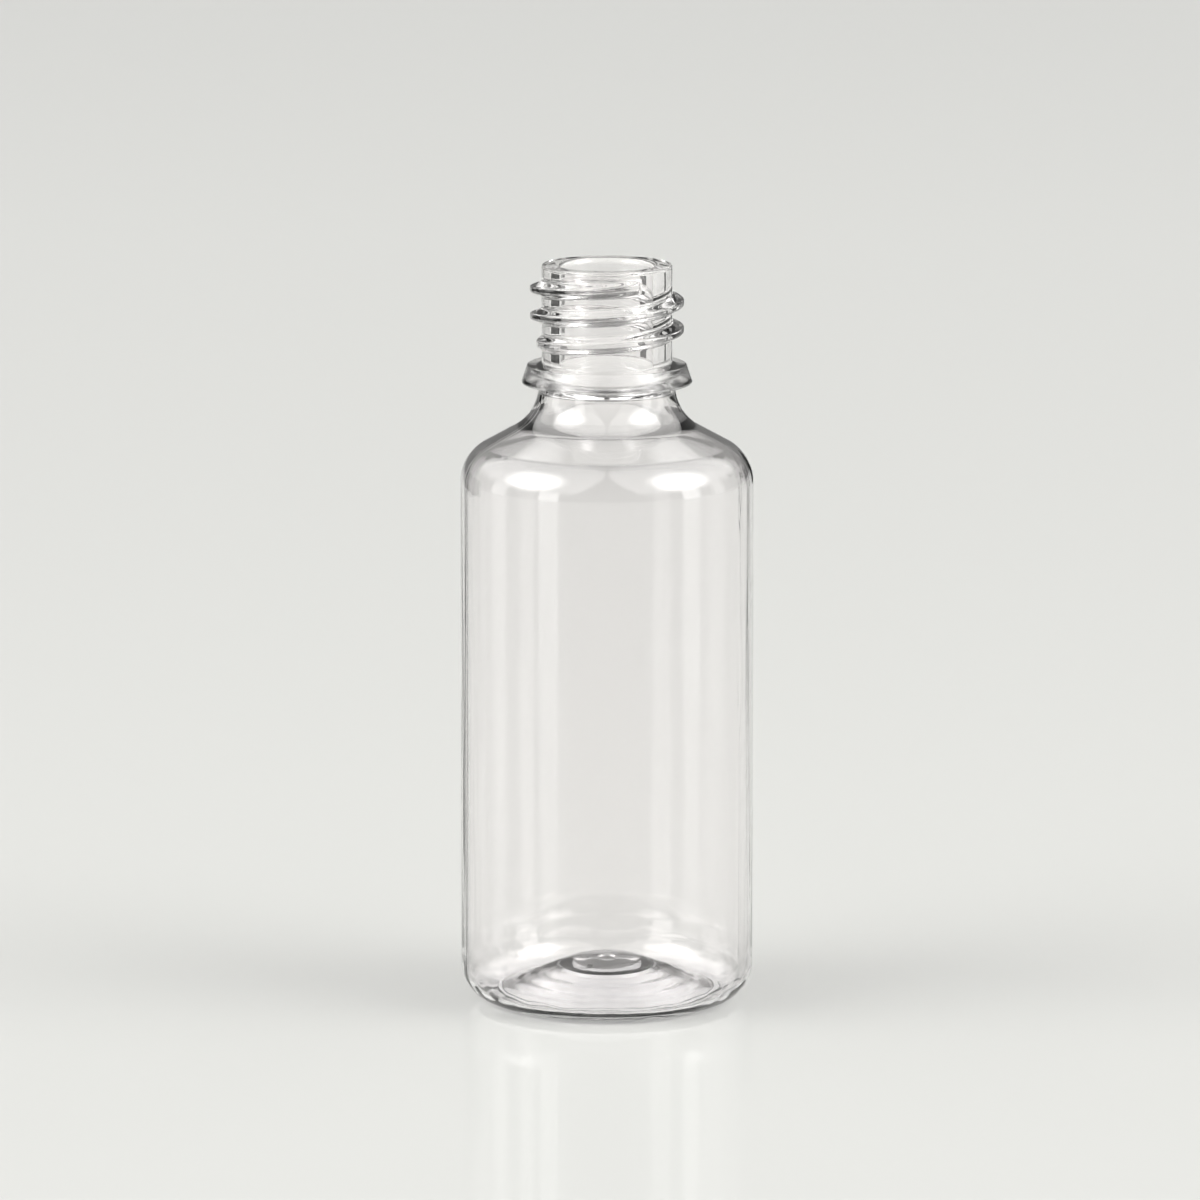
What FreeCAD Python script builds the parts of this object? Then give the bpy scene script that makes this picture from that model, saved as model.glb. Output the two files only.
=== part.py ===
import FreeCAD
import Part
import Sketcher
import math
import os

# A small clear bottle, blown from one injected preform: base, body, shoulder, neck, flange and
# screw thread are one piece of one material. It stands on the plane z = 0 with its axis on Z.
# Lengths are millimetres and angles are degrees. Diameters and heights of corners are those of
# the sharp corner, before its round.

SIZES = [
    ("bottle_height", 86.3, "floor to rim"),
    ("body_diameter", 34.0, "straight part of the body"),
    ("heel_radius", 4.0, "round from the standing ring up to the body"),
    ("stand_width", 0.85, "flat standing ring, from the heel's round to its inner corner"),
    ("foot_radius", 0.8, "round from the standing ring up into the pushed-up base"),
    ("gate_disc_height", 3.1, "floor to the flat disc in the middle of the base"),
    ("gate_disc_diameter", 10.4, "that flat disc"),
    ("gate_disc_step", 0.35, "height and width of the sloped edge round the disc"),
    ("gate_diameter", 2.0, "stub that the injection gate leaves"),
    ("gate_length", 0.45, "how far the stub hangs below the disc"),
    ("shoulder_radius", 5.05, "round from the body into the shoulder"),
    ("shoulder_slope", 28.9, "angle of the shoulder from the horizontal"),
    ("sweep_radius", 5.75, "hollow curve from the shoulder up to the neck"),
    ("neck_length", 3.58, "flange down to the corner between neck and shoulder"),
    ("neck_diameter", 15.76, "neck just under the flange"),
    ("neck_draft", 2.6, "angle of the neck from the vertical"),
    ("finish_height", 13.85, "rim down to the underside of the flange"),
    ("finish_diameter", 15.1, "neck between the turns of the thread"),
    ("rim_bevel", 0.25, "broken outer edge of the rim"),
    ("flange_diameter", 19.9, "lower edge of the flange"),
    ("flange_top_diameter", 18.4, "upper edge of the flange"),
    ("flange_thickness", 2.25, "height of the flange at its outside"),
    ("flange_rise", 0.2, "extra height of the flange where it meets the neck"),
    ("flange_bevel", 0.2, "broken edges of the flange"),
    ("bore_diameter", 10.7, "straight bore of the neck"),
    ("lead_in_diameter", 12.3, "mouth of the bore at the rim"),
    ("lead_in_depth", 0.8, "height of the sloped lead-in"),
    ("step_depth", 0.1, "underside of the flange down to the step inside the neck"),
    ("step_height", 0.9, "height of that sloped step"),
    ("neck_wall", 0.85, "wall of the neck under the step"),
    ("shoulder_wall", 0.7, "wall of the sloping shoulder"),
    ("body_wall", 0.65, "wall of the straight body"),
    ("foot_wall", 1.1, "wall over the standing ring"),
    ("gate_wall", 2.0, "wall over the flat disc, on the axis"),
    ("inner_sweep_radius", 4.6, "curve inside, from the neck out into the shoulder"),
    ("inner_shoulder_radius", 4.2, "curve inside, from the shoulder down into the body"),
    ("inner_heel_radius", 2.7, "round inside, from the body to the bottom"),
    ("inner_bottom_width", 0.5, "lowest part of the inside, from the heel's round to the base's cone"),
    ("inner_valley_radius", 1.8, "round inside, from the bottom up to the base's cone"),
    ("inner_crown_diameter", 5.6, "flat top of the pushed-up base, before its round"),
    ("inner_crown_radius", 12.0, "round from that flat top down to the base's cone"),
    ("thread_diameter", 17.8, "over the crests of the thread"),
    ("thread_pitch", 3.15, "rise of the thread in one turn"),
    ("thread_root_width", 1.8, "ridge where it leaves the neck"),
    ("thread_crest_width", 0.7, "ridge at its crest"),
    ("thread_crest_round", 0.15, "how much the two corners of the crest are broken"),
    ("thread_start_angle", 300.0, "where the upper end lies, anticlockwise from +X"),
    ("thread_start_depth", 1.76, "rim down to the middle of the ridge there"),
    ("thread_turns", 2.43, "turns from the upper end down to the lower one"),
    ("thread_fade", 85.0, "angle over which each end sinks into the neck"),
]


def make_sheet(doc):
    """The driving sizes: name, value and meaning in columns A, B and C."""
    sheet = doc.addObject("Spreadsheet::Sheet", "sizes")
    for row, (alias, value, meaning) in enumerate(SIZES, start=1):
        sheet.set(f"A{row}", alias)
        sheet.set(f"B{row}", str(value))
        sheet.set(f"C{row}", meaning)
        sheet.setAlias(f"B{row}", alias)
    doc.recompute()
    return sheet


# How deep the ridge of the thread is rooted in the neck's wall, as a share of that wall, and the
# angle between the points that its curves pass through.
TUCK_SHARE = 0.125
THREAD_STEP_ANGLE = 30
FULL_TURN_ANGLE = 360


class Outline:
    """A closed half section in the XZ plane, drawn as a chain of named lines.

    Sketch x is the distance from the axis and sketch y is the height above the floor. A sketch
    numbers its own axes -1 and -2, and edges taken from another sketch from -3 downwards.
    """

    ORIGIN = (-1, 1)
    AXIS_NUMBER = -2
    FIRST_TAKEN_NUMBER = -3

    def __init__(self, body, name):
        self.sketch = body.newObject("Sketcher::SketchObject", name)
        self.sketch.Label = name
        plane = next(f for f in body.Origin.OriginFeatures if f.Role == "XZ_Plane")
        self.sketch.AttachmentSupport = (plane, [""])
        self.sketch.MapMode = "FlatFace"
        self.items = {}
        self.taken = 0

    def line(self, name, start, end):
        segment = Part.LineSegment(FreeCAD.Vector(*start, 0), FreeCAD.Vector(*end, 0))
        self.items[name] = (self.sketch.addGeometry(segment, False), 1, 2)

    def close(self):
        """Joins each item to the next one and the last to the first."""
        chain = list(self.items.values())
        for this, following in zip(chain, chain[1:] + chain[:1]):
            self.rule("Coincident", this[0], this[2], following[0], following[1])

    def rule(self, kind, *places):
        return self.sketch.addConstraint(Sketcher.Constraint(kind, *places))

    def level(self, *names):
        for name in names:
            self.rule("Horizontal", self.items[name][0])

    def upright(self, *names):
        for name in names:
            self.rule("Vertical", self.items[name][0])

    def start(self, name):
        return self.items[name][:2]

    def end(self, name):
        return self.items[name][0], self.items[name][2]

    def bind(self, index, label, bound):
        self.sketch.renameConstraint(index, label)
        self.sketch.setExpression(f"Constraints.{label}", bound)

    def place(self, point, label, across=None, up=None):
        """Ties a corner's distance from the axis and its height to the sheet."""
        x, y, _ = self.sketch.getPoint(*point)
        if across:
            index = self.rule("DistanceX", *self.ORIGIN, *point, x)
            self.bind(index, label + "_across", across)
        if up:
            index = self.rule("DistanceY", *self.ORIGIN, *point, y)
            self.bind(index, label + "_up", up)

    def tilt(self, name, label, bound):
        """Ties the angle of a line, anticlockwise from the horizontal, to the sheet."""
        line = self.sketch.Geometry[self.items[name][0]]
        run = line.EndPoint - line.StartPoint
        index = self.rule("Angle", self.items[name][0], math.atan2(run.y, run.x))
        self.bind(index, label, bound)

    def round(self, name, s, alias):
        """Rounds the corner where an item ends. The sharp corner stays as a point of the sketch."""
        radius = getattr(s, alias)
        corner = self.sketch.getPoint(*self.end(name))
        names = list(self.items)
        following = names[names.index(name) + 1]
        pair = [self.items[each][0] for each in (name, following)]
        near = [self.beside(item, corner) for item in pair]
        arc = len(self.sketch.Geometry)
        self.sketch.fillet(*pair, *near, radius, True, True)
        index = self.rule("Radius", arc, radius)
        self.bind(index, f"{name}_{alias}", f"sizes.{alias}")

    def beside(self, item, corner):
        """A point of an item near the one of its ends that lies at the corner."""
        curve = self.sketch.Geometry[item].toShape().Edges[0]
        from_first = curve.valueAt(curve.FirstParameter).distanceToPoint(corner) < curve.Length / 2
        share = 0.1 if from_first else 0.9
        return curve.valueAt(curve.getParameterByLength(share * curve.Length))

    def edge_name(self, name):
        """What the solved sketch calls the edge of an item."""
        middle = self.sketch.Geometry[self.items[name][0]].toShape().CenterOfMass
        for number, edge in enumerate(self.sketch.Shape.Edges, start=1):
            at = edge.CenterOfMass
            if math.dist((at.x, at.z), (middle.x, middle.y)) < 0.001:
                return f"Edge{number}"
        raise RuntimeError(f"no edge for {name}")

    def follow(self, name, other, wall, bound):
        """Keeps a line parallel to the same line of another outline, a wall's thickness away."""
        number = self.FIRST_TAKEN_NUMBER - self.taken
        self.taken += 1
        self.sketch.addExternal(other.sketch.Name, other.edge_name(name))
        self.rule("Parallel", self.items[name][0], number)
        index = self.rule("Distance", *self.end(name), number, wall)
        self.bind(index, f"{name}_wall", bound)


def turn(body, kind, name, outline):
    """Turns an outline once round the axis, as added or as removed material."""
    feature = body.newObject(kind, name)
    feature.Profile = outline.sketch
    feature.ReferenceAxis = (outline.sketch, ["V_Axis"])
    feature.Angle = FULL_TURN_ANGLE
    outline.sketch.Visibility = False
    body.Document.recompute()
    return feature


def outside(body, s):
    """The blown shape and the finish, solid: base with its dome, body, shoulder, neck and rim."""
    half_body = s.body_diameter / 2
    half_neck = s.neck_diameter / 2
    half_finish = s.finish_diameter / 2
    flange_z = s.bottle_height - s.finish_height
    disc = s.gate_disc_diameter / 2
    disc_z = s.gate_disc_height
    step = s.gate_disc_step
    neck_corner = (half_neck + s.neck_length * math.tan(math.radians(s.neck_draft)),
                   flange_z - s.neck_length)
    drop = (half_body - neck_corner[0]) * math.tan(math.radians(s.shoulder_slope))
    shoulder_corner = (half_body, neck_corner[1] - drop)
    foot_corner = (half_body - s.heel_radius - s.stand_width, 0)
    rim_corner = (half_finish, s.bottle_height - s.rim_bevel)
    rim_edge = (half_finish - s.rim_bevel, s.bottle_height)

    o = Outline(body, "outside_outline")
    o.line("disc", (0, disc_z), (disc, disc_z))
    o.line("step", (disc, disc_z), (disc + step, disc_z - step))
    o.line("cone", (disc + step, disc_z - step), foot_corner)
    o.line("stand", foot_corner, (half_body, 0))
    o.line("wall", (half_body, 0), shoulder_corner)
    o.line("shoulder", shoulder_corner, neck_corner)
    o.line("neck", neck_corner, (half_neck, flange_z))
    o.line("ledge", (half_neck, flange_z), (half_finish, flange_z))
    o.line("finish", (half_finish, flange_z), rim_corner)
    o.line("bevel", rim_corner, rim_edge)
    o.line("rim", rim_edge, (0, s.bottle_height))
    o.line("axis", (0, s.bottle_height), (0, disc_z))
    o.close()
    o.level("disc", "stand", "ledge", "rim")
    o.upright("wall", "finish", "axis")
    o.rule("PointOnObject", *o.start("disc"), o.AXIS_NUMBER)
    o.place(o.end("disc"), "disc", "sizes.gate_disc_diameter / 2", "sizes.gate_disc_height")
    o.place(o.end("step"), "step", "sizes.gate_disc_diameter / 2 + sizes.gate_disc_step",
            "sizes.gate_disc_height - sizes.gate_disc_step")
    o.place(o.end("cone"), "stand", "sizes.body_diameter / 2 - sizes.heel_radius - sizes.stand_width")
    o.rule("PointOnObject", *o.end("cone"), o.ORIGIN[0])
    o.place(o.end("stand"), "wall", "sizes.body_diameter / 2")
    o.tilt("shoulder", "shoulder_tilt", "180 deg - sizes.shoulder_slope * 1 deg")
    o.tilt("neck", "neck_tilt", "90 deg + sizes.neck_draft * 1 deg")
    o.place(o.end("shoulder"), "neck_corner",
            up="sizes.bottle_height - sizes.finish_height - sizes.neck_length")
    o.place(o.end("neck"), "neck", "sizes.neck_diameter / 2", "sizes.bottle_height - sizes.finish_height")
    o.place(o.end("finish"), "finish", "sizes.finish_diameter / 2", "sizes.bottle_height - sizes.rim_bevel")
    o.place(o.end("bevel"), "bevel", "sizes.finish_diameter / 2 - sizes.rim_bevel", "sizes.bottle_height")
    o.round("cone", s, "foot_radius")
    o.round("stand", s, "heel_radius")
    o.round("wall", s, "shoulder_radius")
    o.round("shoulder", s, "sweep_radius")
    turn(body, "PartDesign::Revolution", "blown_shape", o)
    return o


def gate_stub(body, s):
    """The stub that the injection gate leaves under the middle of the base."""
    top = s.gate_disc_height + s.gate_wall / 2
    low = s.gate_disc_height - s.gate_length
    half = s.gate_diameter / 2
    o = Outline(body, "gate_outline")
    o.line("tip", (0, low), (half, low))
    o.line("side", (half, low), (half, top))
    o.line("top", (half, top), (0, top))
    o.line("axis", (0, top), (0, low))
    o.close()
    o.level("tip", "top")
    o.upright("side", "axis")
    o.rule("PointOnObject", *o.start("tip"), o.AXIS_NUMBER)
    o.place(o.end("tip"), "tip", "sizes.gate_diameter / 2", "sizes.gate_disc_height - sizes.gate_length")
    o.place(o.end("side"), "root", up="sizes.gate_disc_height + sizes.gate_wall / 2")
    turn(body, "PartDesign::Revolution", "gate_stub", o)


def flange(body, s):
    """The flange that carries the preform and stops the cap's ring: a low cone round the neck."""
    under = s.bottle_height - s.finish_height
    edge_z = under + s.flange_thickness
    root = (s.bore_diameter + s.finish_diameter) / 4
    root_z = edge_z + s.flange_rise
    bevel = s.flange_bevel
    low = (s.flange_diameter / 2, under + bevel)
    high = (s.flange_top_diameter / 2, edge_z - bevel)
    o = Outline(body, "flange_outline")
    o.line("underside", (root, under), (low[0] - bevel, under))
    o.line("low_bevel", (low[0] - bevel, under), low)
    o.line("skirt", low, high)
    o.line("high_bevel", high, (high[0] - bevel, edge_z))
    o.line("top", (high[0] - bevel, edge_z), (s.finish_diameter / 2, root_z))
    o.line("tuck", (s.finish_diameter / 2, root_z), (root, root_z))
    o.line("root", (root, root_z), (root, under))
    o.close()
    o.level("underside", "tuck")
    o.upright("root")
    o.place(o.end("root"), "root", "(sizes.bore_diameter + sizes.finish_diameter) / 4",
            "sizes.bottle_height - sizes.finish_height")
    o.place(o.end("underside"), "underside", "sizes.flange_diameter / 2 - sizes.flange_bevel")
    o.place(o.end("low_bevel"), "low", "sizes.flange_diameter / 2",
            "sizes.bottle_height - sizes.finish_height + sizes.flange_bevel")
    o.place(o.end("skirt"), "high", "sizes.flange_top_diameter / 2",
            "sizes.bottle_height - sizes.finish_height + sizes.flange_thickness - sizes.flange_bevel")
    o.place(o.end("high_bevel"), "top", "sizes.flange_top_diameter / 2 - sizes.flange_bevel",
            "sizes.bottle_height - sizes.finish_height + sizes.flange_thickness")
    o.place(o.end("top"), "tuck", "sizes.finish_diameter / 2",
            "sizes.bottle_height - sizes.finish_height + sizes.flange_thickness + sizes.flange_rise")
    turn(body, "PartDesign::Revolution", "flange", o)


def inside(body, s, shell):
    """The bore, its lead-in and the hollow body, cut out of the solid shape.

    The inner neck and the inner shoulder run parallel to the outer ones, a wall away from them.
    """
    half_bore = s.bore_diameter / 2
    half_lead = s.lead_in_diameter / 2
    half_inside = s.body_diameter / 2 - s.body_wall
    rim = s.bottle_height
    above = rim + s.lead_in_depth
    step_top = rim - s.finish_height - s.step_depth
    step_foot = step_top - s.step_height
    crown_z = s.gate_disc_height + s.gate_wall
    crown = (s.inner_crown_diameter / 2, crown_z)
    valley = (half_inside - s.inner_heel_radius - s.inner_bottom_width, s.foot_wall)

    slope = math.tan(math.radians(s.shoulder_slope))
    draft = math.tan(math.radians(s.neck_draft))
    outer = shell.sketch.Geometry[shell.items["shoulder"][0]].StartPoint
    axis_z = outer.y + outer.x * slope - s.shoulder_wall * math.hypot(1, slope)
    step_x = s.neck_diameter / 2 + (s.step_depth + s.step_height) * draft - s.neck_wall * math.hypot(1, draft)
    corner_x = (step_x + (step_foot - axis_z) * draft) / (1 - slope * draft)
    corner = (corner_x, axis_z - corner_x * slope)
    shoulder = (half_inside, axis_z - half_inside * slope)

    o = Outline(body, "inside_outline")
    o.line("crown", (0, crown_z), crown)
    o.line("cone", crown, valley)
    o.line("bottom", valley, (half_inside, s.foot_wall))
    o.line("wall", (half_inside, s.foot_wall), shoulder)
    o.line("shoulder", shoulder, corner)
    o.line("neck", corner, (step_x, step_foot))
    o.line("step", (step_x, step_foot), (half_bore, step_top))
    o.line("bore", (half_bore, step_top), (half_bore, rim - s.lead_in_depth))
    o.line("lead_in", (half_bore, rim - s.lead_in_depth), (half_lead, rim))
    o.line("mouth", (half_lead, rim), (half_lead, above))
    o.line("cover", (half_lead, above), (0, above))
    o.line("axis", (0, above), (0, crown_z))
    o.close()
    o.level("crown", "bottom", "cover")
    o.upright("wall", "bore", "mouth", "axis")
    o.rule("PointOnObject", *o.start("crown"), o.AXIS_NUMBER)
    o.place(o.end("crown"), "crown", "sizes.inner_crown_diameter / 2",
            "sizes.gate_disc_height + sizes.gate_wall")
    o.place(o.end("cone"), "valley",
            "sizes.body_diameter / 2 - sizes.body_wall - sizes.inner_heel_radius - sizes.inner_bottom_width",
            "sizes.foot_wall")
    o.place(o.end("bottom"), "wall", "sizes.body_diameter / 2 - sizes.body_wall")
    o.place(o.end("neck"), "step_foot",
            up="sizes.bottle_height - sizes.finish_height - sizes.step_depth - sizes.step_height")
    o.place(o.end("step"), "step_top", "sizes.bore_diameter / 2",
            "sizes.bottle_height - sizes.finish_height - sizes.step_depth")
    o.place(o.end("bore"), "lead_in", up="sizes.bottle_height - sizes.lead_in_depth")
    o.place(o.end("lead_in"), "mouth", "sizes.lead_in_diameter / 2", "sizes.bottle_height")
    o.place(o.end("mouth"), "cover", up="sizes.bottle_height + sizes.lead_in_depth")
    o.follow("shoulder", shell, s.shoulder_wall, "sizes.shoulder_wall")
    o.follow("neck", shell, s.neck_wall, "sizes.neck_wall")
    o.round("crown", s, "inner_crown_radius")
    o.round("cone", s, "inner_valley_radius")
    o.round("bottom", s, "inner_heel_radius")
    o.round("wall", s, "inner_shoulder_radius")
    o.round("shoulder", s, "inner_sweep_radius")
    turn(body, "PartDesign::Groove", "hollow", o)


def thread(doc, s):
    """The right-hand screw thread: one ridge on a helix that sinks into the neck at both ends.

    Each corner of the ridge's section runs along a smooth curve, ruled faces join neighbouring
    curves, and a flat face closes each end inside the wall of the neck.
    """
    root = s.finish_diameter / 2
    crest = s.thread_diameter / 2
    wall = root - s.bore_diameter / 2
    tuck = TUCK_SHARE * wall
    sunk = crest - root + tuck / 2
    span = FULL_TURN_ANGLE * s.thread_turns
    start_z = s.bottle_height - s.thread_start_depth
    count = math.ceil(span / THREAD_STEP_ANGLE)
    turned = [span * i / count for i in range(count + 1)]

    flank = (s.thread_root_width - s.thread_crest_width) / 2 / (crest - root)
    half_tuck = s.thread_root_width / 2 + flank * tuck
    half_crest = s.thread_crest_width / 2
    shoulder = crest - s.thread_crest_round
    half_tip = max(half_crest - s.thread_crest_round, 0.1 * half_crest)
    corners = [(root - tuck, -half_tuck), (shoulder, -half_crest), (crest, -half_tip),
               (crest, half_tip), (shoulder, half_crest), (root - tuck, half_tuck)]

    def curve(out, up):
        """The path of one corner of the section, from the upper end down."""
        points = []
        for angle in turned:
            into = min(1, angle / s.thread_fade, (span - angle) / s.thread_fade)
            risen = into * into * (3 - 2 * into)
            radius = out + sunk * (risen - 1)
            around = math.radians(s.thread_start_angle - angle)
            z = start_z - s.thread_pitch * angle / FULL_TURN_ANGLE + up
            points.append(FreeCAD.Vector(radius * math.cos(around), radius * math.sin(around), z))
        spline = Part.BSplineCurve()
        spline.interpolate(Points=points, Parameters=turned)
        return spline.toShape()

    paths = [curve(*corner) for corner in corners]
    faces = [Part.makeRuledSurface(low, high) for low, high in zip(paths, paths[1:] + paths[:1])]
    for end in (0, -1):
        points = [path.Vertexes[end].Point for path in paths]
        faces.append(Part.Face(Part.makePolygon(points + points[:1])))
    shell = Part.Shell(faces)
    shell.sewShape()
    solid = Part.Solid(shell)
    if solid.Volume < 0:
        solid.reverse()
    ridge = doc.addObject("Part::Feature", "thread")
    ridge.Shape = solid
    ridge.Label = "thread_ridge"
    return ridge


class Sizes:
    """The sheet's values by name."""

    def __init__(self, sheet):
        for alias, _, _ in SIZES:
            setattr(self, alias, float(sheet.get(alias)))


def check(doc, pieces):
    """Stops if an object has failed or a piece is not one valid solid."""
    for item in doc.Objects:
        if "Invalid" in item.State or "Error" in item.State:
            raise RuntimeError(f"{item.Name} failed: {item.State}")
    for piece in pieces:
        shape = piece.Shape
        if shape.isNull() or not shape.isValid() or len(shape.Solids) != 1:
            raise RuntimeError(f"{piece.Label} is not one valid solid")


def main():
    doc = FreeCAD.newDocument("pet_bottle")
    s = Sizes(make_sheet(doc))
    body = doc.addObject("PartDesign::Body", "blown_body")
    shell = outside(body, s)
    gate_stub(body, s)
    flange(body, s)
    before = body.Shape.Volume
    inside(body, s, shell)
    if not body.Shape.Volume < before:
        raise RuntimeError("the hollow has cut nothing")
    ridge = thread(doc, s)
    bottle = doc.addObject("Part::Fuse", "bottle")
    bottle.Base = body
    bottle.Tool = ridge
    bottle.Refine = True
    bottle.Label = "bottle"
    doc.recompute()
    check(doc, [bottle])
    os.makedirs("parts", exist_ok=True)
    bottle.Shape.exportStep(os.path.join("parts", bottle.Label + ".step"))
    box = bottle.Shape.optimalBoundingBox(False, False)
    print(f"bottle: {box.XLength:.2f} x {box.YLength:.2f} x {box.ZLength:.2f} mm, "
          f"{bottle.Shape.Volume / 1000:.3f} cm3, {len(bottle.Shape.Faces)} faces")


main()
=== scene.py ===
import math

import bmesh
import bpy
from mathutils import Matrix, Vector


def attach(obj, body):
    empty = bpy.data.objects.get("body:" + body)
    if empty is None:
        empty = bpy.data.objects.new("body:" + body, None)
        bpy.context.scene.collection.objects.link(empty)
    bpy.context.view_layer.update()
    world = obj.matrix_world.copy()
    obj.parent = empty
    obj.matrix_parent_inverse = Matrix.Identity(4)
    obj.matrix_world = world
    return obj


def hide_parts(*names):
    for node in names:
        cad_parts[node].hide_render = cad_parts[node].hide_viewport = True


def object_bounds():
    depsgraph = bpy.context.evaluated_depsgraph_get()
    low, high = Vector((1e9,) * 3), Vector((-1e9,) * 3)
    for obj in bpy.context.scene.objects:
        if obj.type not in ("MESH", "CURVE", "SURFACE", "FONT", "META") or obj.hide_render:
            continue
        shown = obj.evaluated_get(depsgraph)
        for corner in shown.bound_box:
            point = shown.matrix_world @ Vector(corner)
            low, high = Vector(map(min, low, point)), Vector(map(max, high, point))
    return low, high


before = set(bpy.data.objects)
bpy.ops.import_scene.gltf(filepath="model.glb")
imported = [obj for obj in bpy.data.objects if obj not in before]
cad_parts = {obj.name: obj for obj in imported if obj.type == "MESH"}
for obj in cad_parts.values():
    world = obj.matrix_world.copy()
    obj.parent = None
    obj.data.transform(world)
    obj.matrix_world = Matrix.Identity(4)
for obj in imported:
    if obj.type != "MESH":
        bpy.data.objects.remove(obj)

# %% [markdown]
# # A small clear bottle
#
# The object is a blown plastic bottle: one piece of clear PET with a screw thread, a flange and
# thin walls. A clear thing has hardly any colour of its own. What the eye reads is how its two
# skins bend and mirror the room. So the lesson spends its care on three things: an exact and
# smooth shape, a room with bright and dark parts, and a pale floor that mirrors a little.

MM = 0.001
cad_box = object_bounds()
HEIGHT = cad_box[1][2] / MM
BODY = cad_box[1][0] / MM
print(f"the bottle is {2 * BODY:.1f} mm wide and {HEIGHT:.1f} mm tall")

# %% [markdown]
# ## A pen for the outline
#
# The bottle is round, so half of its section says it all. That section is a chain of straight
# runs with rounded corners. It could be typed as a long list of points, but nobody can read or
# mend such a list. Here a pen moves from corner to corner instead. Each corner says how far it
# lies from the axis, how high it is and how big its round is, all in millimetres. A straight run
# is one extruded vertex. A round is the same vertex, spun about the centre of the round.

# %% A pen that draws rounded outlines
ROUND_STEP = math.radians(4)
TOUCHING = 0.0001


class Pen:
    """Draws an outline in the XZ plane from corner to corner."""

    def __init__(self, corners):
        self.bm = bmesh.new()
        places = [Vector((across, 0, up)) for across, up, _ in corners]
        self.tip = self.bm.verts.new(places[0])
        for number, (_, _, radius) in enumerate(corners[1:-1], start=1):
            self.bend(places[number - 1], places[number], places[number + 1], radius)
        self.line(places[-1])

    def line(self, place):
        """A straight run to a place, unless the pen is there already."""
        if (self.tip.co - place).length > TOUCHING:
            made = bmesh.ops.extrude_vert_indiv(self.bm, verts=[self.tip])
            self.tip = made["verts"][0]
            self.tip.co = place

    def bend(self, before, corner, after, radius):
        """A straight run up to the round of a corner, then the round itself."""
        come = (corner - before).normalized()
        leave = (after - corner).normalized()
        turned = come.angle(leave)
        self.line(corner - come * radius * math.tan(turned / 2))
        axis = come.cross(leave).normalized()
        made = bmesh.ops.spin(
            self.bm, geom=[self.tip], cent=self.tip.co + axis.cross(come) * radius, axis=axis,
            angle=turned, steps=math.ceil(turned / ROUND_STEP))
        self.tip = next(part for part in made["geom_last"] if isinstance(part, bmesh.types.BMVert))

    def divide(self, low, high, gap):
        """Cuts the straight runs between two heights into short pieces."""
        for edge in list(self.bm.edges):
            inside = all(low < vert.co.z < high for vert in edge.verts)
            cuts = math.ceil(edge.calc_length() / gap) - 1
            if inside and cuts:
                bmesh.ops.subdivide_edges(self.bm, edges=[edge], cuts=cuts)


# %% [markdown]
# ## The base
#
# A blown base is pushed up in the middle, so that the bottle stands on a narrow ring and can't
# rock. The middle keeps a small flat disc with a stub on it, where the plastic was injected. The
# base is left thicker than the wall, because it never stretches far. A lathe would start
# drawing at the axis, and so does the pen: over the stub, over the disc, down the cone to the
# ring, and round the heel up into the wall.

# %% The corners of the base
DISC = 5.2
DISC_HEIGHT = 3.1
DISC_STEP = 0.35
STUB = 1.0
STUB_HEIGHT = 2.65
FOOT = 12.16
FOOT_ROUND = 0.8
HEEL_ROUND = 4.0
CRISP = 0.1

base_outside = [
    (0, STUB_HEIGHT, 0),
    (STUB, STUB_HEIGHT, CRISP),
    (STUB, DISC_HEIGHT, CRISP),
    (DISC, DISC_HEIGHT, 0.15),
    (DISC + DISC_STEP, DISC_HEIGHT - DISC_STEP, 0.15),
    (FOOT, 0, FOOT_ROUND),
    (BODY, 0, HEEL_ROUND),
]
print(f"the bottle stands on a ring {2 * FOOT:.1f} mm across")

# %% [markdown]
# ## Body, shoulder and neck
#
# The body is a plain tube. The shoulder is a cone with a large soft round at each end, and it
# runs up into a neck that tapers a little, because a mould has to let go of it. The two rounds
# are what the eye notices first: light gathers in them as in a lens. They are true arcs, since a
# bottle drawn with a smooth curve through a few points looks soft and handmade.

# %% The corners of the shoulder and the neck
SLOPE = math.tan(math.radians(28.9))
DRAFT = math.tan(math.radians(2.6))
FLANGE = HEIGHT - 13.85
NECK = 7.88
NECK_LENGTH = 3.58
SHOULDER_ROUND = 5.05
NECK_ROUND = 5.75

neck_foot = (NECK + NECK_LENGTH * DRAFT, FLANGE - NECK_LENGTH)
shoulder_outside = [
    (BODY, neck_foot[1] - (BODY - neck_foot[0]) * SLOPE, SHOULDER_ROUND),
    (*neck_foot, NECK_ROUND),
    (NECK, FLANGE, CRISP),
]
print(f"the shoulder starts {shoulder_outside[0][1]:.1f} mm up")

# %% [markdown]
# ## Flange and mouth
#
# The flange is the ledge that carries the bottle while it is blown and filled. Its rim leans
# inwards. The mouth above it is moulded, not blown, so its edges are crisp, and only the lip is
# well rounded where a stopper is pushed in. Rounds this small are worth drawing, because each one
# catches a thin bright line.

# %% The corners of the flange and the mouth
FLANGE_RIM = 9.95
FLANGE_TOP = 9.2
FLANGE_THICKNESS = 2.25
FLANGE_RISE = 0.2
FLANGE_ROUND = 0.25
FINISH = 7.55
RIM_ROUND = 0.3
BORE = 5.35

mouth_outside = [
    (FLANGE_RIM, FLANGE, FLANGE_ROUND),
    (FLANGE_TOP, FLANGE + FLANGE_THICKNESS, FLANGE_ROUND),
    (FINISH, FLANGE + FLANGE_THICKNESS + FLANGE_RISE, CRISP),
    (FINISH, HEIGHT, RIM_ROUND),
]
print(f"the mouth is {2 * BORE:.1f} mm wide inside")

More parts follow.
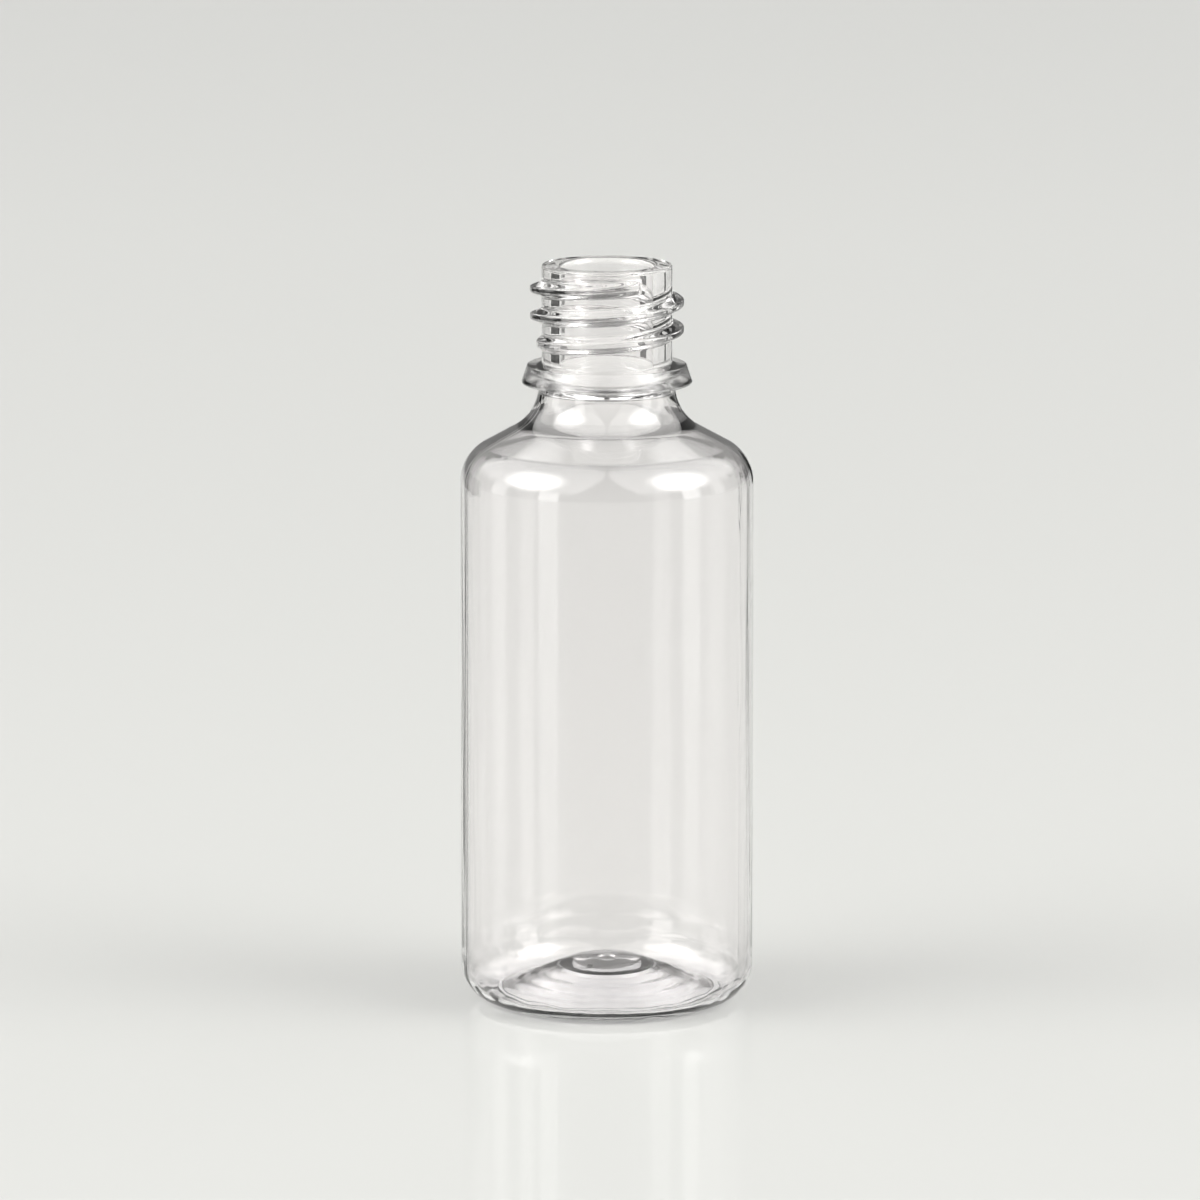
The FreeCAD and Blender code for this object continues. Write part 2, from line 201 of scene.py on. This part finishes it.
# %% [markdown]
# ## The inside
#
# A clear bottle needs its inner skin just as much as its outer one. Light bends at both, and the
# wall between them makes the grey lines along the edges. A Solidify modifier could give one even
# wall, but a blown bottle hasn't got one: it is thick at the mouth and the base and thin
# in the body. So the inside is drawn as well, back down to the axis.

# %% The corners of the inside
WALL = 0.65
INNER_NECK = 7.08
STEP_DEPTH = 1.0
BOTTOM = 1.1
CROWN = 5.1

inner_foot = (INNER_NECK + (NECK_LENGTH - 0.65) * DRAFT, FLANGE - NECK_LENGTH - 0.34)
inside = [
    (BORE, HEIGHT, 0.75),
    (BORE, FLANGE - 0.1, 0.6),
    (INNER_NECK, FLANGE - STEP_DEPTH, 0.5),
    (*inner_foot, 4.6),
    (BODY - WALL, inner_foot[1] - (BODY - WALL - inner_foot[0]) * SLOPE, 4.4),
    (BODY - WALL, BOTTOM, 2.7),
    (BODY - WALL - 3.2, BOTTOM, 1.8),
    (2.8, CROWN, 12.0),
    (0, CROWN, 0),
]
pen = Pen([*base_outside, *shoulder_outside, *mouth_outside, *inside])
print(f"the outline has {len(pen.bm.verts)} points")

# %% [markdown]
# ## Once round the axis
#
# A Screw modifier would turn the outline into a bottle too. The spin operator is used here,
# because the thread is pushed out of the same mesh afterwards. The thread needs many short rows
# on the mouth, so the pen divides that stretch first. The points on the axis come out once for
# every step, and they are merged into one pole at each end.

# %% Spinning the skins
THREAD_ROW = 0.12
AROUND = 200

pen.divide(FLANGE + FLANGE_THICKNESS + 0.25, HEIGHT - 0.3, THREAD_ROW)
bm = pen.bm
bmesh.ops.spin(bm, geom=bm.verts[:] + bm.edges[:], cent=(0, 0, 0), axis=(0, 0, 1),
               angle=math.tau, steps=AROUND, use_merge=True)
bmesh.ops.remove_doubles(bm, verts=bm.verts[:], dist=0.0005)
bmesh.ops.recalc_face_normals(bm, faces=bm.faces[:])
print(f"{len(bm.faces)} faces, {sum(edge.is_boundary for edge in bm.edges)} open edges")

# %% [markdown]
# ## The thread
#
# The thread is one ridge that winds down the mouth two and a half times and sinks into it at
# both ends. A profile swept along a helix would have to be joined to the mouth, and in clear
# plastic every joint shows. Pushing the mouth's own vertices outwards keeps one unbroken skin.
# How far a vertex goes depends on two distances: how far it is along the thread from the nearer
# end, and how far it is up or down from the middle of the ridge.

# %% How far the thread stands out
PITCH = 3.15
START_ANGLE = 300
START_HEIGHT = HEIGHT - 1.76
TURNS = 2.43
RUN_OUT = 85
CREST = 8.9
HALF_FOOT = 0.9
FLANK = 0.55


def eased(share, soft):
    """Rises from 0 to 1 in a straight line that is rounded at both ends."""
    if share < soft:
        return max(0, share + soft) ** 2 / (4 * soft)
    if share > 1 - soft:
        return 1 - max(0, 1 + soft - share) ** 2 / (4 * soft)
    return share


def ridge(angle, height):
    """How far the thread stands out at an angle in degrees and a height."""
    out = 0
    for turn in range(math.ceil(TURNS) + 1):
        wound = (START_ANGLE - angle) % 360 + 360 * turn
        if wound < 360 * TURNS:
            risen = eased(min(wound, 360 * TURNS - wound) / RUN_OUT, 0.4)
            away = abs(height - (START_HEIGHT - PITCH * wound / 360))
            out = max(out, risen * eased((HALF_FOOT - away) / FLANK, 0.2))
    return out * (CREST - FINISH)


print(f"the thread stands out {ridge(0, START_HEIGHT - PITCH * START_ANGLE / 360):.2f} mm")

# %% Pushing the thread out of the mouth
moved = 0
for vert in bm.verts:
    radius = math.hypot(vert.co.x, vert.co.y)
    on_mouth = FLANGE + FLANGE_THICKNESS + 0.15 < vert.co.z < HEIGHT - 0.25
    if on_mouth and abs(radius - FINISH) < 0.02:
        push = ridge(math.degrees(math.atan2(vert.co.y, vert.co.x)) % 360, vert.co.z)
        vert.co.xy *= (radius + push) / radius
        moved += push > 0
print(f"{moved} vertices carry the thread")

# %% [markdown]
# ## From millimetres to a piece of the scene
#
# The drawing is in millimetres and the scene is in metres, so the mesh is scaled once, as a mesh,
# and the object itself stays unscaled at the origin. Smooth shading hides the facets. The piece
# then takes the place of the plain solid that the frame shows.


# %% A helper that puts a mesh into the scene
def set_out(name, bm):
    """Turns a bmesh into an object at the origin."""
    mesh = bpy.data.meshes.new(name)
    bm.to_mesh(mesh)
    bm.free()
    made = bpy.data.objects.new(name, mesh)
    bpy.context.scene.collection.objects.link(made)
    print(f"{name}: {sum(len(face.vertices) - 2 for face in mesh.polygons)} triangles")
    return made


# %% The bottle in metres
bmesh.ops.scale(bm, vec=(MM, MM, MM), verts=bm.verts[:])
for face in bm.faces:
    face.smooth = True
bottle = set_out("bottle_skin", bm)

# %% [markdown]
# ## Materials as expressions
#
# A material is a net of nodes. Drawn by hand it is quick to make and hard to read. Here each
# socket is wrapped in a small class, so that a plus sign between two sockets adds an Add node,
# and a whole pattern reads as one line of arithmetic. Every other node comes from one method.


# %% A small class for sockets
class Wire:
    """A socket that can be used in sums."""

    def __init__(self, look, socket):
        self.look = look
        self.socket = socket

    def maths(self, operation, *others):
        return self.look.node("ShaderNodeMath", self, *others, settings={"operation": operation})

    def __add__(self, other):
        return self.maths("ADD", other)

    __radd__ = __add__

    def __mul__(self, other):
        return self.maths("MULTIPLY", other)

    __rmul__ = __mul__

    def __sub__(self, other):
        return self.maths("SUBTRACT", other)

    def __rsub__(self, other):
        return self.look.node("ShaderNodeMath", other, self, settings={"operation": "SUBTRACT"})


# %% A class for a net of nodes
class Look:
    """The nodes of a material or of the world, made one by one."""

    def __init__(self, owner):
        self.owner = owner
        owner.use_nodes = True
        self.tree = owner.node_tree
        self.tree.nodes.clear()

    def node(self, kind, *values, settings=None, out=0, **named):
        """One node: its type, its settings, and what its sockets hold or are linked to."""
        node = self.tree.nodes.new(kind)
        for key, value in (settings or {}).items():
            setattr(node, key, value)
        sockets = dict(enumerate(values))
        sockets.update((name.replace("_", " "), value) for name, value in named.items())
        for key, value in sockets.items():
            if isinstance(value, Wire):
                self.tree.links.new(value.socket, node.inputs[key])
            elif value is not None:
                node.inputs[key].default_value = value
        return Wire(self, node.outputs[out]) if node.outputs else None

    def split(self, vector):
        """The three numbers of a vector."""
        parts = self.node("ShaderNodeSeparateXYZ", vector).socket.node
        return [Wire(self, output) for output in parts.outputs]

    def fade(self, value, start, end):
        """A soft step that is 0 at the start and 1 at the end."""
        return self.node("ShaderNodeMapRange", value, start, end, 0.0, 1.0,
                         settings={"interpolation_type": "SMOOTHSTEP"})


# %% [markdown]
# ## Clear plastic
#
# The plastic is a Principled shader with full transmission. Its index of refraction, 1.575, is
# about what is usually given for PET, and it is higher than that of window glass, so the edges
# come out darker. The colour is a very faint warm grey. It acts at every skin that the light passes, and
# four skins give the slight grey of the real bottle.
#
# A perfect surface looks like crystal. A blown one has long shallow streaks down the body, where
# the tube stretched, puddles along the heel, where the plastic cooled against the mould, and
# rings in the base. The streaks and rings are a few hundredths of a millimetre high, and the
# puddles up to a quarter of one. They are bumps on Object coordinates, so they stay on the plastic
# when the camera moves. The bump node is told the heights in millimetres.

# %% Where a point lies on the bottle
clear = Look(bpy.data.materials.new("clear_pet"))
metres = clear.node("ShaderNodeTexCoord", out="Object")
place = clear.node("ShaderNodeVectorMath", metres, None, None, 1 / MM, settings={"operation": "SCALE"})
x, y, z = clear.split(place)
radius = (x * x + y * y).maths("SQRT")
print("the plastic knows its place in millimetres")


# %% The marks of blowing
STREAK_HEIGHT = 0.06
PUDDLE_HEIGHT = 0.25
RING_HEIGHT = 0.018
RINGS_APART = 3.4
RINGS_WOBBLE = 1.5


def uneven(stretch, scale, detail):
    """Soft noise, drawn out along the axes by a stretch below 1."""
    vector = clear.node("ShaderNodeVectorMath", place, stretch, settings={"operation": "MULTIPLY"})
    return clear.node("ShaderNodeTexNoise", Vector=vector, Scale=scale, Detail=detail)


on_body = clear.fade(z, 5.0, 9.0) * clear.fade(z, 68.0, 60.0)
on_base = clear.fade(z, 6.0, 3.0) * clear.fade(radius, DISC + 0.4, DISC + 1.4)
on_heel = clear.fade(radius, 11.5, 13.5) * clear.fade(z, 6.0, 3.5)

streaks = uneven((1, 1, 0.08), 0.25, 2.0) * on_body * STREAK_HEIGHT
puddles = uneven((1, 1, 1.6), 0.2, 1.0) * on_heel * PUDDLE_HEIGHT
rings = (radius * RINGS_APART + uneven((1, 1, 1), 0.2, 1.0) * RINGS_WOBBLE).maths("SINE")
rings = rings * on_base * RING_HEIGHT
print("streaks, puddles and rings are drawn")

# %% [markdown]
# A mould usually has two halves, and where they meet they leave a hair line up the body. The
# picture doesn't show where it is, so its place is a guess, and it ends at the heel. The flange's
# rim looks softer in the picture than the rest of the neck. A satin finish is one way to get that
# look, and it is a guess too, because the picture can't tell what makes the rim look soft.

# %% The mould line and the satin rim
PARTING = math.radians(15)
MOULD_LINE_HEIGHT = 0.012

across = (x * math.sin(PARTING) - y * math.cos(PARTING)).maths("ABSOLUTE")
mould_line = clear.fade(across, 0.16, 0.0) * clear.fade(z, FLANGE, FLANGE - 1) * MOULD_LINE_HEIGHT
mould_line = mould_line * clear.fade(z, 2.0, 4.0)
on_rim = clear.fade(radius, FLANGE_TOP - 0.2, FLANGE_TOP)
on_rim = on_rim * clear.fade(z, FLANGE - 0.1, FLANGE + 0.1)
on_rim = on_rim * clear.fade(z, FLANGE + FLANGE_THICKNESS + 0.1, FLANGE + FLANGE_THICKNESS)
print("the mould line and the rim are marked")

# %% The clear plastic itself
PET_INDEX = 1.575
SATIN = 0.17

bumps = clear.node("ShaderNodeBump", Height=streaks + puddles + rings + mould_line,
                   Distance=MM, Strength=1.0)
plastic = clear.node("ShaderNodeBsdfPrincipled", Base_Color=(0.985, 0.974, 0.977, 1),
                     Roughness=on_rim * SATIN, IOR=PET_INDEX, Transmission_Weight=1.0, Normal=bumps)
clear.node("ShaderNodeOutputMaterial", plastic)
bottle.data.materials.append(clear.owner)
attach(bottle, "root")
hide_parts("bottle")
print(f"clear_pet has {len(clear.tree.nodes)} nodes")

# %% [markdown]
# ## The floor
#
# The camera looks down a little, so all that it sees behind the bottle is floor. It is a pale
# sheet with a thin gloss: matt enough to be even, and smooth enough to mirror the bottle's edges
# faintly. Part of its paleness is a glow that only the eye's rays meet, straight or through the
# plastic, so it brightens the picture and doesn't light the bottle. Under the bottle a pool of
# light is painted into that glow for the rays through the plastic. It stands in for the light that
# would pass through four clear skins, which a renderer finds hard to bring.

# %% A pale floor
FLOOR_HALF = 4.0
GLOW = 0.25
# A pool of light painted on the floor under the bottle, seen only through the plastic.
UNDER_PAINTED_LIGHT = 0.35
PAINTED_LIGHT_EDGE = 0.022
PAINTED_LIGHT_FULL = 0.013

bm = bmesh.new()
bmesh.ops.create_grid(bm, x_segments=1, y_segments=1, size=FLOOR_HALF)
floor = set_out("studio_floor", bm)

pale = Look(bpy.data.materials.new("pale_floor"))
away = pale.node("ShaderNodeTexCoord", out="Object")
away = pale.node("ShaderNodeVectorMath", away, settings={"operation": "LENGTH"}, out="Value")
through = pale.node("ShaderNodeLightPath", out="Is Transmission Ray")
scattered = pale.node("ShaderNodeLightPath", out="Is Diffuse Ray")
# The floor's even glow, plus the painted pool of light under the bottle.
glow_and_painted_light = (1 - scattered) * GLOW + through * pale.fade(away, PAINTED_LIGHT_EDGE, PAINTED_LIGHT_FULL) * UNDER_PAINTED_LIGHT
sheet = pale.node("ShaderNodeBsdfPrincipled", Base_Color=(0.5, 0.505, 0.485, 1), Roughness=0.02,
                  IOR=1.2, Emission_Color=glow_and_painted_light, Emission_Strength=1.0)
pale.node("ShaderNodeOutputMaterial", sheet)
floor.data.materials.append(pale.owner)

# %% [markdown]
# ## Two dark flags
#
# A photographer puts strips of dark cloth beside a clear bottle. The cloth stays out of the
# picture, but the thick mouth bends the light so far that it shows up there, as dark bands that
# give the neck its body. Each flag is an upright sheet, made by extruding one edge.

# %% Flags behind the bottle
FLAG_DISTANCE = 0.42
FLAG_HEIGHT = 0.11

cloth = Look(bpy.data.materials.new("flag_cloth"))
cloth.node("ShaderNodeOutputMaterial", cloth.node("ShaderNodeBsdfDiffuse", (0.01, 0.01, 0.01, 1)))


def around(angle):
    """A place on the floor, at an angle that starts at the camera and grows to the right."""
    turned = math.radians(angle)
    return FLAG_DISTANCE * Vector((math.sin(turned), -math.cos(turned), 0))


def flag(name, first, last):
    """A dark sheet between two angles, which the camera and matt surfaces don't see."""
    bm = bmesh.new()
    foot = bm.edges.new([bm.verts.new(around(angle)) for angle in (first, last)])
    made = bmesh.ops.extrude_edge_only(bm, edges=[foot])
    top = [part for part in made["geom"] if isinstance(part, bmesh.types.BMVert)]
    bmesh.ops.translate(bm, verts=top, vec=(0, 0, FLAG_HEIGHT))
    sheet = set_out(name, bm)
    sheet.data.materials.append(cloth.owner)
    sheet.visible_camera = False
    sheet.visible_diffuse = False
    sheet.visible_shadow = False


flag("left_flag", -118, -150)
flag("right_flag", 157, 165)

# %% [markdown]
# ## The room
#
# Lamps would show in the plastic as small hard dots. A product studio uses large soft panels, and
# the easiest soft panel is a painted sky: the world's colour depends on the direction, so the
# bottle sees one tall panel on each side, with a bright core, in a dim room. The shapes are sums
# of the direction's x, y and z, each softened by a fade. Their sizes and strengths were found by
# trial against this one picture. Seen from the side, the floor mirrors a panel and clips to white.
#
# The panels stop low down, and four narrow bright strips stand there instead. They show in the
# body as the long vertical lights. The room stays dim in front and behind, because that is what
# the shoulder and the outer edges mirror, and there the real bottle is grey.

# %% Panels at both sides
world = bpy.data.worlds.new("studio")
bpy.context.scene.world = world
world.cycles.sampling_method = "NONE"
air = Look(world)

x, y, z = air.split(air.node("ShaderNodeTexCoord", out="Generated"))
side = x.maths("ABSOLUTE")
front_edge = (0.7 - z * 0.7).maths("MAXIMUM", 0.85 - z * 1.25)
back_edge = (1.43 - z * 1.43).maths("MAXIMUM", 0.5)
edge = front_edge + air.fade(y, -0.05, 0.05) * (back_edge - front_edge)
panel = air.fade(side - edge * y.maths("ABSOLUTE"), -0.02, 0.04)
toward_core = side * 0.76 - y * 0.247 + z * 0.602
core = air.fade(toward_core, math.cos(math.radians(28)), math.cos(math.radians(6)))
print("a panel with a bright core on each side")

# %% Low strips
STRIPS = {-95: (8, 1.4), -47: (8, 2.6), 71: (8, 2.6), 100: (6, 1.0)}
STRIP_SOFT = 1.5
LOW_START = 0.45
LOW_FULL = 0.2

low = air.fade(z, LOW_START, LOW_FULL)
bearing = x.maths("ARCTAN2", y * -1) * math.degrees(1)
strips = 0
for angle, (half, strength) in STRIPS.items():
    away = (bearing - angle).maths("ABSOLUTE")
    strips = air.fade(away, half + STRIP_SOFT, half - STRIP_SOFT) * strength + strips
print(f"{len(STRIPS)} strips near the horizon")

# %% [markdown]
# Two things are the same for the whole room. Rays that only light a matt surface see it dimmer,
# so that the pale floor doesn't clip to white in this view. And the camera sees a plain pale
# backdrop where it looks past the floor.

# %% The light of the room
FRONT = 0.15
BACK = 0.2
PANEL = 1.2
CORE = 6.0
MATT_SHARE = 0.7
BACKDROP = 0.76
LOW_DIMMING = 0.85
WARM = (1.0, 0.995, 0.975)

room = air.fade(y, -0.6, 0.6) * (BACK - FRONT) + FRONT
light = room + panel * (core * CORE + PANEL) * (1 - low * LOW_DIMMING) + low * strips
light = light * (1 - air.node("ShaderNodeLightPath", out="Is Diffuse Ray") * (1 - MATT_SHARE))
direct = air.node("ShaderNodeLightPath", out="Is Camera Ray")
light = light * (1 - direct) + direct * BACKDROP
light = air.node("ShaderNodeVectorMath", WARM, None, None, light, settings={"operation": "SCALE"})
air.node("ShaderNodeOutputWorld", air.node("ShaderNodeBackground", light, 1.0))
print(f"the room has {len(air.tree.nodes)} nodes")

# %% [markdown]
# ## The camera
#
# What camera took the picture isn't known, so one was fitted to it: nearly a metre away, with a
# long lens, ten degrees above level. The numbers come from the ellipses of the mouth, the flange
# and the foot, which open more the further they lie below the eye. The view stays Standard, so
# colours come out as written.

# %% The camera of the photograph
ELEVATION = math.radians(10.2)
DISTANCE = 0.961
AIM = Vector((-0.0008, 0, 0.04697))

lens = bpy.data.cameras.new("photo_camera")
lens.sensor_width = 36
lens.lens = 248.4
camera = bpy.data.objects.new("photo_camera", lens)
bpy.context.scene.collection.objects.link(camera)
camera.location = AIM + DISTANCE * Vector((0, -math.cos(ELEVATION), math.sin(ELEVATION)))
camera.rotation_euler = (math.pi / 2 - ELEVATION, 0, 0)
bpy.context.scene.camera = camera
bpy.context.scene.view_settings.view_transform = "Standard"
print(f"the camera stands {camera.location.z:.3f} m high")
